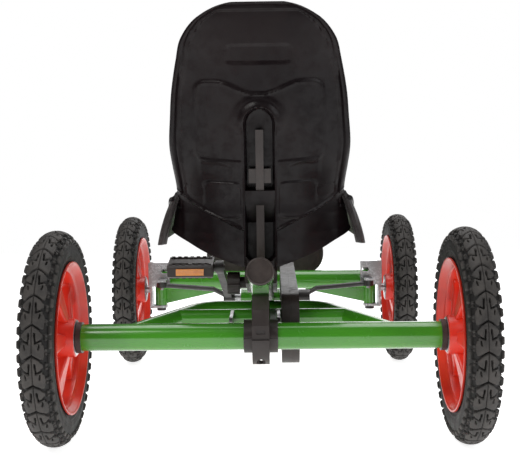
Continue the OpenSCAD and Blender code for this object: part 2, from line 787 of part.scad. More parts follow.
// Steering knuckle: two ears, an outer plate, a stub axle and a folded steering arm
module knuckle(side) {
  plate_x = kingpin_x + 18;
  stub_end = front_track / 2 + hub_outboard + 8;
  arm_z = axle_z + 22;
  color(zinc) on_side(side) difference() {
    union() {
      for (z = [boss_low - face_gap - ear_t, boss_high + face_gap]) translate([kingpin_x, front_y, z]) {
        cylinder(h = ear_t, r = boss_r + 1);
        translate([0, -boss_r - 1, 0]) cube([20, 2 * boss_r + 2, ear_t]);
      }
      translate([plate_x, front_y - 17, boss_low - face_gap - ear_t]) cube([5, 34, 97 + face_gap]);
      translate([plate_x, front_y - 38, boss_high + face_gap]) cube([5, 40, 20]);
      translate([kingpin_x - 23, front_y - 38, axle_z + 9]) cube([46, 4, 51]);
      translate([kingpin_x - 18, front_y - steer_arm - 9, arm_z]) cube([18, steer_arm - 25, 4]);
      bar_x(plate_x + 2, stub_end, front_y, axle_z, stub_r);
      translate([kingpin_x - 9, rod_y, axle_z + 5]) cylinder(h = 20, r = 4);
    }
    translate([kingpin_x, front_y, boss_low - 20]) cylinder(h = 120, r = kingpin_r + run_gap);
    translate([kingpin_x - 12, front_y, axle_z + 42]) rotate([90, 0, 0]) linear_extrude(60) {
      square([7, 8.5], center = true);
      for (x = [-3.5, 3.5]) translate([x, 0]) circle(4.25);
    }
  }
}

module front_nut(side) {
  color(zinc) on_side(side) wheel_nut(front_track / 2 + hub_outboard + face_gap, front_y, stub_r);
}

arm_t = 6;
arm_low = -10;
eye_t = 5;
eye_r = 12.6;
eye_gap = 4.6;
drop_pin_length = 23;
drop_pin_r = 3.5;
eye_top = arm_low - 2.5;

// Tie rod from the knuckle's stud to the loose eye round the drop arm's pin
module tie_rod(side) {
  outer = [kingpin_x - 9, rod_y, axle_z + 15];
  eye_z = eye_top - (side < 0 ? eye_t / 2 : 1.5 * eye_t + eye_gap);
  pin_y = column_foot[1] - drop_arm * cos(column_lean) - eye_z * sin(column_lean);
  pin_z = column_foot[2] - drop_arm * sin(column_lean) + eye_z * cos(column_lean);
  inner = [32, pin_y, pin_z];
  path = [outer, [kingpin_x - 118, rod_y, axle_z + 6], [64, (rod_y + pin_y) / 2, axle_z - 18], inner];
  color(dark) on_side(side) difference() {
    union() {
      translate(outer - [0, 0, 5]) cylinder(h = 10, r = 11);
      path_bar(path, 5);
      translate([0, pin_y, pin_z]) rotate([column_lean, 0, 0]) translate([0, 0, -eye_t / 2]) {
        cylinder(h = eye_t, r = eye_r + 4);
        translate([eye_r + 1, -6, 0]) cube([20 - eye_r + 12, 12, eye_t]);
      }
    }
    translate(outer - [0, 0, 20]) cylinder(h = 40, r = 4 + run_gap);
    translate([0, pin_y, pin_z]) rotate([column_lean, 0, 0]) translate([0, 0, -20]) cylinder(h = 40, r = eye_r);
  }
}

// Things drawn on the steering column: Z runs up the column from its foot
module on_column() {
  translate(column_foot) rotate([column_lean, 0, 0]) children();
}

module steering_column_lower() {
  color(dark) on_column() difference() {
    union() {
      translate([0, 0, arm_low]) cylinder(h = column_length - arm_low, r = column_r);
      translate([0, 0, arm_low]) linear_extrude(arm_t) {
        circle(column_r);
        translate([0, -drop_arm]) circle(8);
        polygon([[-column_r, 0], [-8, -drop_arm], [8, -drop_arm], [column_r, 0]]);
      }
      translate([0, 0, head_high + face_gap]) cylinder(h = 8, r = head_r - 2);
      translate([0, 0, column_length - 16]) cylinder(h = 16, r = column_r + 4);
      translate([0, -drop_arm, arm_low - drop_pin_length]) cylinder(h = drop_pin_length + 1, r = drop_pin_r);
      translate([0, -drop_arm, arm_low - drop_pin_length - 4]) cylinder(h = 4, r = 6.5, $fn = 6);
    }
    translate([0, 0, 60]) cylinder(h = column_length, r = column_r - 2 + run_gap);
  }
}

module steering_column_upper() {
  color(zinc) on_column() translate([0, 0, column_length - 120])
    cylinder(h = wheel_reach - column_length + 120, r = column_r - 2);
}

module steering_wheel() {
  rim_r = steering_wheel_d / 2 - 12;
  color(dark) on_column() translate([0, 0, wheel_reach]) difference() {
    union() {
      rotate_extrude() translate([rim_r, 6]) circle(12);
      translate([0, 0, -22]) cylinder(h = 24, r = 24);
      for (a = [90, 210, 330]) rotate([0, 0, a]) translate([0, -14, -3]) cube([rim_r, 28, 6]);
      cylinder(h = 8, r = 34);
    }
    translate([0, 0, -30]) cylinder(h = 30, r = column_r - 2 + fit_gap / 2);
  }
}

// Seat rows from the top of the back to the front lip: distance ahead of the
// rear axle, height above it, half width and how far the sides wrap round
seat_rows = [
  [3, 490, 40, 3], [6, 471, 88, 9], [11, 441, 115, 20], [17, 407, 125, 30], [25, 361, 134, 40],
  [32, 321, 138, 46], [40, 278, 141, 52], [47, 241, 137, 56], [56, 201, 132, 60], [74, 168, 137, 60],
  [104, 147, 145, 58], [150, 137, 151, 54], [200, 136, 153, 46], [245, 141, 147, 34],
  [285, 149, 136, 20], [308, 151, 119, 9], [320, 145, 96, 3]];
channel_rows = [for (r = seat_rows) r[1] > 330 || r[0] > 90 ? 0 : r[0] > 70 ? 0.5 : 1];

function row_normal(i) = let (
  a = seat_rows[max(i - 1, 0)],
  b = seat_rows[min(i + 1, len(seat_rows) - 1)],
  d = unit([b[0] - a[0], b[1] - a[1]])) [-d[1], d[0]];

// Places across a row, from -1 to 1 times its half width, with the channel's edges fixed
function row_places(w) = let (
  c = min(channel_half, 0.3 * w),
  side = [min(8, 0.1 * w), c - 2, c, min(c + 5, 0.42 * w), 0.5 * w, 0.62 * w, 0.74 * w, 0.84 * w, 0.93 * w, w])
  concat([for (k = [9 : -1 : 0]) -side[k]], side);

function seat_point(i, x, lift) = let (
  r = seat_rows[i],
  w = r[2] * seat_width_factor,
  n = row_normal(i),
  sunk = abs(x) < min(channel_half, 0.3 * w) - 1 ? channel_depth * channel_rows[i] : 0,
  d = r[3] * pow(abs(x) / w, 2.4) + sunk + lift)
  [x, seat_y + r[0] + n[0] * d, axle_z + r[1] + n[1] * d];

// A thin sheet between two grids of points with the same number of columns
module sheet(near, far, rows, cols) {
  size = rows * cols;
  quads = [for (i = [0 : rows - 2]) for (j = [0 : cols - 2]) [i * cols + j, i * cols + j + 1, (i + 1) * cols + j + 1, (i + 1) * cols + j]];
  rim_loop = concat([for (j = [0 : cols - 1]) j], [for (i = [1 : rows - 1]) i * cols + cols - 1],
                    [for (j = [cols - 2 : -1 : 0]) (rows - 1) * cols + j], [for (i = [rows - 2 : -1 : 1]) i * cols]);
  edge = [for (k = [0 : len(rim_loop) - 1]) let (a = rim_loop[k], b = rim_loop[(k + 1) % len(rim_loop)])
    [b, a, a + size, b + size]];
  front = [for (q = quads) [for (k = [3 : -1 : 0]) q[k] + size]];
  faces = concat(quads, front, edge);
  polyhedron(points = concat(near, far), faces = [for (f = faces) for (t = [[0, 1, 2], [0, 2, 3]]) [f[t[0]], f[t[1]], f[t[2]]]]);
}

module seat_shell() {
  n = len(seat_rows);
  places = [for (i = [0 : n - 1]) row_places(seat_rows[i][2] * seat_width_factor)];
  near = [for (i = [0 : n - 1]) for (x = places[i]) seat_point(i, x, 0)];
  far = [for (i = [0 : n - 1]) for (x = places[i]) seat_point(i, x, seat_wall)];
  color(dark) sheet(near, far, n, 20);
}

// Skirt below the waist of the seat's back: left and right halves beside the channel
skirt_rows = [[0, 132], [-22, 136], [-44, 139], [-64, 118], [-81, 86], [-94, 48], [-102, 26]];

module seat_skirt() {
  waist = seat_rows[8];
  n = row_normal(8);
  cols = 9;
  inner = channel_half + 0.5;
  grid = function (lift) [for (r = skirt_rows) for (j = [0 : cols - 1]) let (
    x = inner + (r[1] * seat_width_factor - inner) * j / (cols - 1),
    d = waist[3] * pow(x / (waist[2] * seat_width_factor), 2.4) - lift - face_gap)
    [x, seat_y + waist[0] - r[0] * 0.06 + n[0] * d, axle_z + waist[1] - 3 + r[0] + n[1] * d]];
  color(dark) for (side = [-1, 1]) on_side(side) sheet(grid(4), grid(0), len(skirt_rows), cols);
}

plate_t = 4.5;
plate_z = axle_z + 136 - plate_t - face_gap;

// Carrier: a saddle that slides on the rail and the plate that the seat is screwed to
module seat_carrier() {
  color(dark) {
    difference() {
      union() {
        on_rail() bar_y(85, 225, 0, 0, tube_r + 5);
        for (x = [-tube_r - 5, tube_r]) side_plate(x, x + 5) polygon([
          [rear_y + 60, axle_z + 80], [rear_y + 190, axle_z + 56], [rear_y + 200, plate_z + 1], [rear_y + 110, plate_z + 1]]);
        on_rail() bar_x(-tube_r - 14, -tube_r, 150, 0, 10);
      }
      on_rail() bar_y(60, 260, 0, 0, tube_r + 0.3);
      on_rail() translate([-60, 60, -60]) cube([120, 200, 60 - 8]);
      on_rail() bar_x(-60, 0, 150, 0, 4 + run_gap);
      translate([-80, rear_y + 50, plate_z]) cube([160, 200, 30]);
    }
    translate([-55, rear_y + 112, plate_z]) cube([110, 96, plate_t]);
  }
}

// Upright bar in the seat's channel with its cross plate
module seat_frame() {
  low = [0, rear_y + 67, axle_z + 104];
  waist = [0, rear_y + 66, axle_z + 196];
  high = [0, rear_y + 46, axle_z + 306];
  color(dark) {
    side_plate(-6, 6) polygon([
      [low[1] - 6, low[2] + 1], [low[1] + 30, low[2] - 6.3], [low[1] + 30, low[2] + 4], [low[1] + 6, low[2] + 12],
      [waist[1] + 6, waist[2]],
      [high[1] + 6, high[2]], [high[1] - 6, high[2]], [waist[1] - 6, waist[2]]]);
    translate([-17, waist[1] - 9, waist[2] + 30]) rotate([10, 0, 0]) cube([11, 5, 22]);
    translate([6, waist[1] - 9, waist[2] + 30]) rotate([10, 0, 0]) cube([11, 5, 22]);
  }
}

module seat_knob() {
  color(dark) on_rail() on_side(-1) {
    bar_x(tube_r + face_gap, tube_r + 18, 150, 0, 4);
    difference() {
      bar_x(tube_r + 14 + face_gap, tube_r + 34, 150, 0, 18);
      for (a = [0 : 60 : 359]) bar_x(tube_r, tube_r + 60, 150 + 21 * cos(a), 21 * sin(a), 6);
    }
  }
}

main_tube();
tube_end_cap();
rear_post();
rear_axle_tube(-1);  // rear_axle_tube_left
rear_axle_tube(1);  // rear_axle_tube_right
rear_hoop();
chain_case_upper();
chain_case_lower();
chain_case_bolts();
rear_bearings();
axle_seals();
hub_bracket();
chain_guard_inner();
chain_guard_outer();
guard_screws();
long_chain();
short_chain();
bottom_bracket_shell();
crank_bearings();
steering_head();
steering_bushes();
nose_fairing();
front_pivot_pin();
crank_axle();
chainring();
crank_arm(-1);  // crank_arm_left
crank_arm(1);  // crank_arm_right
pedal(-1);  // pedal_left
pedal(1);  // pedal_right
reflectors(-1);  // reflectors_left
reflectors(1);  // reflectors_right
hub_drum();
hub_sprockets();
rear_axle_shaft();
axle_sprocket();
rear_axle_nuts();
rim(rear_track / 2, rear_y, -1, axle_r + run_gap);  // rim_rear_left
rim(rear_track / 2, rear_y, 1, axle_r + run_gap);  // rim_rear_right
rim(front_track / 2, front_y, -1, stub_r + run_gap);  // rim_front_left
rim(front_track / 2, front_y, 1, stub_r + run_gap);  // rim_front_right
tyre(rear_track / 2, rear_y, -1);  // tyre_rear_left
tyre(rear_track / 2, rear_y, 1);  // tyre_rear_right
tyre(front_track / 2, front_y, -1);  // tyre_front_left
tyre(front_track / 2, front_y, 1);  // tyre_front_right
front_axle_beam();
kingpins();
knuckle(-1);  // knuckle_left
knuckle(1);  // knuckle_right
front_nut(-1);  // front_nut_left
front_nut(1);  // front_nut_right
tie_rod(-1);  // tie_rod_left
tie_rod(1);  // tie_rod_right
steering_column_lower();
steering_column_upper();
steering_wheel();
seat_shell();
seat_skirt();
seat_carrier();
seat_frame();
seat_knob();
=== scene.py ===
"""A child's pedal go kart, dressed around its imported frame.

Lengths are metres. X runs to the driver's right, Y forward and Z up.
"""

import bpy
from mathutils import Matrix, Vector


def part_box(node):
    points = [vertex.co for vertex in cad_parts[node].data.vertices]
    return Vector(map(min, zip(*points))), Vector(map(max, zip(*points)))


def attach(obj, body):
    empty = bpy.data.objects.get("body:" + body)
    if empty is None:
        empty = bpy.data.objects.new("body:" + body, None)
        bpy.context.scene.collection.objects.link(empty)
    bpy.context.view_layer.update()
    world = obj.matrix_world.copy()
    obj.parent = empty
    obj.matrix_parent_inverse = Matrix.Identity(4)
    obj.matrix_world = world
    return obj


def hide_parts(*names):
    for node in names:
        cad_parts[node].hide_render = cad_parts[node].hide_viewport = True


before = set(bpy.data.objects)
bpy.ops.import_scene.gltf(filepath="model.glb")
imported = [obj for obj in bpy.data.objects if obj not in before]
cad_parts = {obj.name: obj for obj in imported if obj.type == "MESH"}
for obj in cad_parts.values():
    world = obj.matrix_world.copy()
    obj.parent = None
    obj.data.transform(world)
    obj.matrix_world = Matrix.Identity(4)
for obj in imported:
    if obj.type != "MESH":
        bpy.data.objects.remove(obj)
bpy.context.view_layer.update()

import math

import bpy
import numpy as np
from mathutils import Matrix, Vector

# ---------------------------------------------------------------- photo studio
# A white floor and backdrop, soft key, fill, top and back lights, and a long-lens
# camera low behind the kart, a little to its right.


def mid(node):
    """Middle of a CAD node's box."""
    low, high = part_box(node)
    return (low + high) / 2


rear_y, axle_z = mid("rear_axle_shaft")[1:]
tyre_high_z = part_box("tyre_rear_right")[1][2]
tyre_r = tyre_high_z - axle_z

studio_white = (0.93, 0.93, 0.93, 1)
camera_back = 1.4148
camera_at = Vector((0.0214, rear_y - camera_back, 0.3764))
camera_turn = math.radians(-0.859)
camera_tip = math.radians(-2.601)
camera_roll = math.radians(-0.642)
camera_lens = 66.7


def aim(turn, tip, roll):
    """Camera axes: look along +Y, turn about Z, tip up, then roll about the view."""
    look = Vector((math.sin(turn) * math.cos(tip), math.cos(turn) * math.cos(tip), math.sin(tip)))
    side = Vector((math.cos(turn), -math.sin(turn), 0))
    up = side.cross(look)
    right = side * math.cos(roll) + up * math.sin(roll)
    return Matrix((right, up * math.cos(roll) - side * math.sin(roll), -look)).transposed().to_4x4()


camera_data = bpy.data.cameras.new("camera")
camera_data.lens = camera_lens
camera_data.sensor_width = 36
camera = bpy.data.objects.new("camera", camera_data)
camera.matrix_world = Matrix.Translation(camera_at) @ aim(camera_turn, camera_tip, camera_roll)
bpy.context.scene.collection.objects.link(camera)
bpy.context.scene.camera = camera


def soft_light(name, place, target, size, power, tint):
    """A square area light at a place, turned to face a target."""
    data = bpy.data.lights.new(name, "AREA")
    data.size = size
    data.energy = power
    data.color = tint
    lamp = bpy.data.objects.new(name, data)
    look = (Vector(target) - Vector(place)).to_track_quat("-Z", "Y")
    lamp.matrix_world = Matrix.LocRotScale(Vector(place), look, None)
    bpy.context.scene.collection.objects.link(lamp)


soft_light("key_light", (-1.5, -2.2, 2.7), (0, -0.2, 0.3), 1.6, 44, (1, 0.98, 0.95))
soft_light("fill_light", (2.3, -1.8, 1.6), (0, -0.1, 0.3), 1.8, 20, (0.96, 0.98, 1))
soft_light("top_light", (0.2, 0.5, 3.0), (0, 0, 0.2), 2.2, 46, (1, 1, 1))
soft_light("back_light", (0.6, 3.0, 1.4), (0, 0, 0.3), 2.0, 26, (1, 1, 1))

sky_white = 1.0
sky_fill = 0.11
world = bpy.data.worlds.new("studio")
world.use_nodes = True
sky = world.node_tree
sky.nodes["Background"].inputs["Strength"].default_value = sky_fill
backdrop = sky.nodes.new("ShaderNodeBackground")
backdrop.inputs["Strength"].default_value = sky_white
for lit in (sky.nodes["Background"], backdrop):
    lit.inputs["Color"].default_value = (1, 1, 1, 1)
seen = sky.nodes.new("ShaderNodeLightPath")
choose = sky.nodes.new("ShaderNodeMixShader")
sky.links.new(seen.outputs["Is Camera Ray"], choose.inputs[0])
sky.links.new(sky.nodes["Background"].outputs[0], choose.inputs[1])
sky.links.new(backdrop.outputs[0], choose.inputs[2])
sky.links.new(choose.outputs[0], sky.nodes["World Output"].inputs["Surface"])
bpy.context.scene.world = world
bpy.context.scene.view_settings.view_transform = "Standard"


class Wire:
    """A socket's value in a material, whose arithmetic adds Math nodes."""

    def __init__(self, finish, socket):
        self.finish, self.socket = finish, socket

    def _math(self, operation, a, b):
        return self.finish.node("ShaderNodeMath", {"operation": operation}, {0: a, 1: b})

    def __add__(self, other):
        return self._math("ADD", self, other)

    def __radd__(self, other):
        return self._math("ADD", other, self)

    def __sub__(self, other):
        return self._math("SUBTRACT", self, other)

    def __rsub__(self, other):
        return self._math("SUBTRACT", other, self)

    def __mul__(self, other):
        return self._math("MULTIPLY", self, other)

    def __rmul__(self, other):
        return self._math("MULTIPLY", other, self)


class Finish:
    """A material under construction: its nodes, and the surface shader that they feed."""

    def __init__(self, name, **fixed):
        self.material = bpy.data.materials.new(name)
        self.material.use_nodes = True
        self.tree = self.material.node_tree
        self.shader = self.tree.nodes["Principled BSDF"]
        self.place = self.node("ShaderNodeTexCoord", output="Object")
        for socket, value in fixed.items():
            self.shader.inputs[socket.replace("_", " ").title().replace("Ior", "IOR")].default_value = value

    def node(self, kind, settings=None, sockets=None, output=0):
        """Adds a node, makes its settings, then fills its sockets with numbers or Wires."""
        made = self.tree.nodes.new(kind)
        for key, value in (settings or {}).items():
            if key == "stops":
                ramp = made.color_ramp
                while len(ramp.elements) < len(value):
                    ramp.elements.new(0.5)
                for element, (at, colour) in zip(ramp.elements, value):
                    element.position, element.color = at, colour
            else:
                setattr(made, key, value)
        for key, value in (sockets or {}).items():
            if isinstance(value, Wire):
                self.tree.links.new(value.socket, made.inputs[key])
            else:
                made.inputs[key].default_value = value
        return Wire(self, made.outputs[output])

    def noise(self, scale, detail=3.0, rough=0.55, at=None):
        """Cloudy noise from 0 to 1, with so many cells to the metre."""
        return self.node("ShaderNodeTexNoise", {}, {
            "Vector": at or self.place, "Scale": scale, "Detail": detail, "Roughness": rough})

    def fade(self, value, low, high, start=0.0, end=1.0):
        """Carries low..high onto start..end with eased ends, held outside."""
        return self.node("ShaderNodeMapRange", {"interpolation_type": "SMOOTHSTEP"}, {
            0: value, 1: low, 2: high, 3: start, 4: end})

    def mix(self, share, a, b):
        """Colour a turning into colour b as share goes from 0 to 1."""
        return self.node("ShaderNodeMix", {"data_type": "RGBA"}, {0: share, 6: a, 7: b}, 2)

    def bump(self, height, depth, strength=1.0):
        """Surface normal over a height from 0 to 1 that is depth metres deep."""
        return self.node("ShaderNodeBump", {}, {"Height": height, "Distance": depth, "Strength": strength})

    def painted(self, attribute):
        """A number stored on the mesh's points."""
        return self.node("ShaderNodeAttribute", {"attribute_name": attribute}, {}, "Fac")

    def surface(self, **varying):
        """Feeds the shader's sockets and returns the finished material."""
        for socket, value in varying.items():
            self.tree.links.new(value.socket, self.shader.inputs[socket.replace("_", " ").title()])
        return self.material


def dress(material, *nodes):
    """Puts a material in every slot of the CAD nodes."""
    for name in nodes:
        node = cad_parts[name]
        node.data.materials.clear()
        node.data.materials.append(material)


def grid_faces(rows, columns, close_rows=False, close_columns=False):
    """Quads between neighbours of a grid of points, numbered row by row."""
    i = np.arange(rows if close_rows else rows - 1)[:, None]
    j = np.arange(columns if close_columns else columns - 1)[None, :]
    up, along = (i + 1) % rows, (j + 1) % columns
    corners = [i * columns + j, i * columns + along, up * columns + along, up * columns + j]
    return np.stack(corners, axis=-1).reshape(-1, 4)


def as_piece(name, points, faces, material, smooth=40):
    """A mesh object from points and quads, shaded smooth below an edge angle in degrees."""
    mesh = bpy.data.meshes.new(name)
    points = np.asarray(points, float).reshape(-1, 3)
    mesh.from_pydata(points.tolist(), [], [list(face) for face in faces])
    mesh.validate()
    mesh.materials.append(material)
    piece = bpy.data.objects.new(name, mesh)
    bpy.context.scene.collection.objects.link(piece)
    mesh.shade_smooth()
    mesh.set_sharp_from_angle(angle=math.radians(smooth))
    return piece


def stands_for(piece, body, slot, *nodes):
    """Hands a finished piece to its body and hides the CAD nodes it replaces. The finish slot is not used.
    """
    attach(piece, body)
    if nodes:
        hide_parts(*nodes)


floor_half = 4.0
floor_glow = 0.84
floor_finish = Finish("studio_floor", roughness=0.9, base_color=studio_white,
                      emission_color=(1, 1, 1, 1), emission_strength=floor_glow)
floor = as_piece("floor", [(-floor_half, -floor_half, 0), (floor_half, -floor_half, 0),
                           (floor_half, floor_half, 0), (-floor_half, floor_half, 0)],
                 [(0, 1, 2, 3)], floor_finish.material)

# ------------------------------------------------------------- painted frame
# Round steel tube, mitred, welded and powder coated in one gloss green: the main
# tube, seat post, axle tubes, hoop, steering head and the swinging front beam.


def powder_paint(name, colour, shade):
    """Gloss powder coat: a faint orange peel, slow drifts of tone and dull specks."""
    paint = Finish(name, coat_roughness=0.12, ior=1.5)
    drift = paint.noise(9, 2)
    peel = paint.noise(420, 2, 0.4)
    dust = paint.noise(60, 5, 0.7)
    return paint.surface(
        base_color=paint.mix(paint.fade(drift, 0.35, 0.7), colour, shade),
        roughness=0.2 + 0.12 * paint.fade(dust, 0.45, 0.75),
        coat_weight=paint.fade(dust, 0.75, 0.5, 0.35, 0.7),
        normal=paint.bump(peel, 0.00012, 0.35))


green_paint = powder_paint("green_paint", (0.052, 0.27, 0.013, 1), (0.04, 0.225, 0.011, 1))
dress(green_paint, "main_tube", "rear_post", "rear_axle_tube_left", "rear_axle_tube_right", "rear_hoop",
      "bottom_bracket_shell", "steering_head", "front_axle_beam")

# ------------------------------------------------------- moulded black covers
# Injection-moulded polypropylene: the chain case that clamps round the rear axle,
# the screwed chain guard, bushes, seals and pedals. The steel seat carrier and its
# bar are finished in the same matt black.


def moulded(name, colour, faded, grain_depth, dull, shine):
    """Moulded plastic: fine spark-eroded grain, cloudy tone and handled, shinier patches."""
    plastic = Finish(name, specular_ior_level=0.5)
    cloud = plastic.noise(14, 3)
    scuff = plastic.noise(75, 6, 0.75)
    grain = plastic.noise(1500, 2, 0.5)
    return plastic.surface(
        base_color=plastic.mix(plastic.fade(cloud * 0.6 + scuff * 0.4, 0.42, 0.66), colour, faded),
        roughness=plastic.fade(scuff, 0.35, 0.7, shine, dull),
        normal=plastic.bump(grain + 0.5 * cloud, grain_depth, 0.5))


black_plastic = moulded("black_plastic", (0.021, 0.0145, 0.013, 1), (0.040, 0.030, 0.027, 1),
                        0.00015, 0.52, 0.36)
dress(black_plastic, "chain_case_upper", "chain_case_lower", "chain_guard_inner", "chain_guard_outer",
      "axle_seals", "steering_bushes", "seat_carrier", "seat_knob", "seat_frame", "pedal_left",
      "pedal_right")

# --------------------------------------------------------------- bright metal
# Zinc-plated steel: the axle, its bearings and dome nuts, the guard's and the
# case's screws, the hub bracket, the crank spindle and the front pivot pin.


def plated(name, colour, tarnish, dull):
    """Plated steel: metal with a blotchy spangle, faint rolling marks and dull stains."""
    metal = Finish(name, metallic=1.0)
    spangle = metal.node("ShaderNodeTexVoronoi", {}, {"Vector": metal.place, "Scale": 260.0}, 0)
    stain = metal.noise(40, 5, 0.65)
    marks = metal.noise(700, 3, 0.6)
    return metal.surface(
        base_color=metal.mix(metal.fade(stain * 0.8 + spangle * 0.3, 0.38, 0.62), colour, tarnish),
        roughness=metal.fade(stain, 0.3, 0.7, dull - 0.1, dull + 0.12),
        normal=metal.bump(marks, 0.00006, 0.4))


zinc_steel = plated("zinc_steel", (0.62, 0.63, 0.65, 1), (0.40, 0.40, 0.41, 1), 0.36)
dress(zinc_steel, "rear_axle_shaft", "rear_axle_nuts", "rear_bearings", "chain_case_bolts", "hub_bracket",
      "guard_screws", "crank_axle", "crank_bearings", "front_pivot_pin", "hub_sprockets", "axle_sprocket",
      "knuckle_left", "knuckle_right", "front_nut_left", "front_nut_right", "steering_column_upper",
      "hub_drum")

# ---------------------------------------------------------------- black steel
# Cold-forged and tube parts in satin black stove enamel: crank arms, chainring,
# kingpins, tie rods and the lower steering column.


def enamelled(name, colour, edge):
    """Satin enamel: a soft skin over slightly rough metal, rubbed paler in places."""
    enamel = Finish(name, coat_roughness=0.3)
    rub = enamel.noise(120, 5, 0.7)
    skin = enamel.noise(500, 3, 0.5)
    return enamel.surface(
        base_color=enamel.mix(enamel.fade(rub, 0.6, 0.8), colour, edge),
        roughness=enamel.fade(rub, 0.3, 0.75, 0.34, 0.5),
        coat_weight=enamel.fade(rub, 0.7, 0.4, 0.1, 0.4),
        normal=enamel.bump(skin, 0.0001, 0.4))


black_steel = enamelled("black_steel", (0.018, 0.016, 0.015, 1), (0.085, 0.078, 0.07, 1))
dress(black_steel, "crank_arm_left", "crank_arm_right", "chainring", "kingpins", "tie_rod_left",
      "tie_rod_right", "steering_column_lower")

# ----------------------------------------------------------------------- rims
# One-piece nylon rims in signal red: a flanged barrel, five tapering spokes and a
# long hub. A steel washer is pressed into each hub's inner end.

wheels = {
    "rear_left": (-1, "rear_wheel_left"), "rear_right": (1, "rear_axle"),
    "front_left": (-1, "front_wheel_left"), "front_right": (1, "front_wheel_right")}
hub_inner = 0.028
hub_outer = 0.016
spokes = 5
spoke_hub_r = 0.024
spoke_rim_r = 0.1025


def outward(points, *groups):
    """Turns face groups round if the solid they close has a negative volume.

    The volume is the sum of a . (b x c) / 6 over each face's fan of triangles.
    """
    volume = 0.0
    for group in groups:
        corner = points[group]
        for k in range(1, corner.shape[1] - 1):
            volume += np.einsum("ij,ij->", corner[:, 0], np.cross(corner[:, k], corner[:, k + 1]))
    return (points, *(group[:, ::-1] if volume < 0 else group for group in groups))


def revolved(profile, steps=144):
    """Points and faces of a closed profile (across, radius) turned about the wheel's axle.

    The turn angle starts straight behind the axle and rises at the back of the wheel.
    """
    across, radius = np.asarray(profile, float).T
    turn = np.arange(steps) * 2 * np.pi / steps
    points = np.stack([across[:, None] + 0 * turn, -radius[:, None] * np.cos(turn),
                       radius[:, None] * np.sin(turn)], axis=-1)
    return outward(points.reshape(-1, 3), grid_faces(len(across), steps, True, True))


def lofted(sections):
    """Points and faces of a closed bar through rings of points, with a fan of triangles on each end."""
    rings, around = sections.shape[:2]
    ring = np.arange(around)
    ahead = (ring + 1) % around
    top = (rings - 1) * around
    low = np.stack([rings * around + 0 * ring, ahead, ring], axis=-1)
    high = np.stack([rings * around + 1 + 0 * ring, ring + top, ahead + top], axis=-1)
    points = np.concatenate([sections.reshape(-1, 3), [sections[0].mean(0), sections[-1].mean(0)]])
    return outward(points, grid_faces(rings, around, False, True), np.concatenate([low, high]))


def gathered(parts):
    """Several (points, faces, ...) made one list of points and one list of faces."""
    points, faces, start = [], [], 0
    for part in parts:
        points.append(np.asarray(part[0]))
        for group in part[1:]:
            faces.extend((np.asarray(group) + start).tolist())
        start += len(part[0])
    return np.concatenate(points), faces


def squared_circle(count, power):
    """Cosines and sines raised so that the circle they draw swells towards a square."""
    angle = np.arange(count) * 2 * np.pi / count
    c, s = np.cos(angle), np.sin(angle)
    return np.sign(c) * np.abs(c) ** (2 / power), np.sign(s) * np.abs(s) ** (2 / power)


def spoke(angle):
    """A bar of rounded-box section from hub to barrel: its width fans out, its inner face falls back."""
    radius = np.linspace(spoke_hub_r, spoke_rim_r, 22)
    share = (radius - spoke_hub_r) / (spoke_rim_r - spoke_hub_r)
    flare = np.clip((share - 0.8) / 0.2, 0, 1) ** 2
    half = 0.0065 + 0.0135 * np.clip(share / 0.62, 0, 1) ** 0.9 + 0.010 * flare
    inner = -0.0215 + 0.0165 * share ** 0.8 - 0.005 * flare
    outer = 0.0085 + 0.001 * share + 0.004 * flare
    c, s = squared_circle(28, 5)
    middle, depth = (inner + outer) / 2, (outer - inner) / 2
    across = middle[:, None] + depth[:, None] * c
    dish = 0.0022 * np.cos(np.clip(s, -1, 1) * np.pi / 2) * (c < 0)
    aside = half[:, None] * s
    rise = radius[:, None] + 0 * aside
    y, z = -(rise * np.cos(angle) - aside * np.sin(angle)), rise * np.sin(angle) + aside * np.cos(angle)
    sections = np.stack([across + dish, y, z], axis=-1)
    return lofted(sections)


def rim_parts():
    """Barrel, hub and spokes of one wheel, about its own middle."""
    half_lip = [(0.0240, 0.1127), (0.0232, 0.1130), (0.0212, 0.1127), (0.0204, 0.1112), (0.0196, 0.1086),
                (0.0180, 0.1078)]
    half_bore = [(0.0100, 0.0985), (0.0118, 0.0992), (0.0128, 0.1008), (0.0134, 0.1034), (0.0146, 0.1046),
                 (0.0216, 0.1086), (0.0234, 0.1102), (0.0240, 0.1115)]
    barrel = ([(-a, r) for a, r in half_lip] + [(a, r) for a, r in half_lip[::-1]]
              + [(a, r) for a, r in half_bore[::-1]] + [(-a, r) for a, r in half_bore])
    hub = [(-hub_inner, 0.0125), (-hub_inner, 0.0262), (-hub_inner + 0.0012, 0.0280), (-0.0200, 0.0290),
           (-0.0120, 0.0302), (-0.0040, 0.0322), (0.0060, 0.0322), (0.0110, 0.0300), (0.0150, 0.0272),
           (hub_outer, 0.0255), (hub_outer, 0.0110), (0.0, 0.0102)]
    return [revolved(barrel), revolved(hub, 96)] + [spoke(2 * np.pi * k / spokes) for k in range(spokes)]


def at_wheel(points, wheel):
    """Points about a wheel's middle, with X outboard, carried to that wheel's place."""
    side, middle = wheels[wheel][0], mid("tyre_" + wheel)
    return points * np.array([side, 1, 1]) + np.array(middle)


def wheel_piece(name, wheel, points, faces, material, smooth=40):
    """A piece on a wheel. The left wheels are mirror images, so their faces are turned round."""
    if wheels[wheel][0] < 0:
        faces = [face[::-1] for face in faces]
    return as_piece(name, at_wheel(points, wheel), faces, material, smooth)


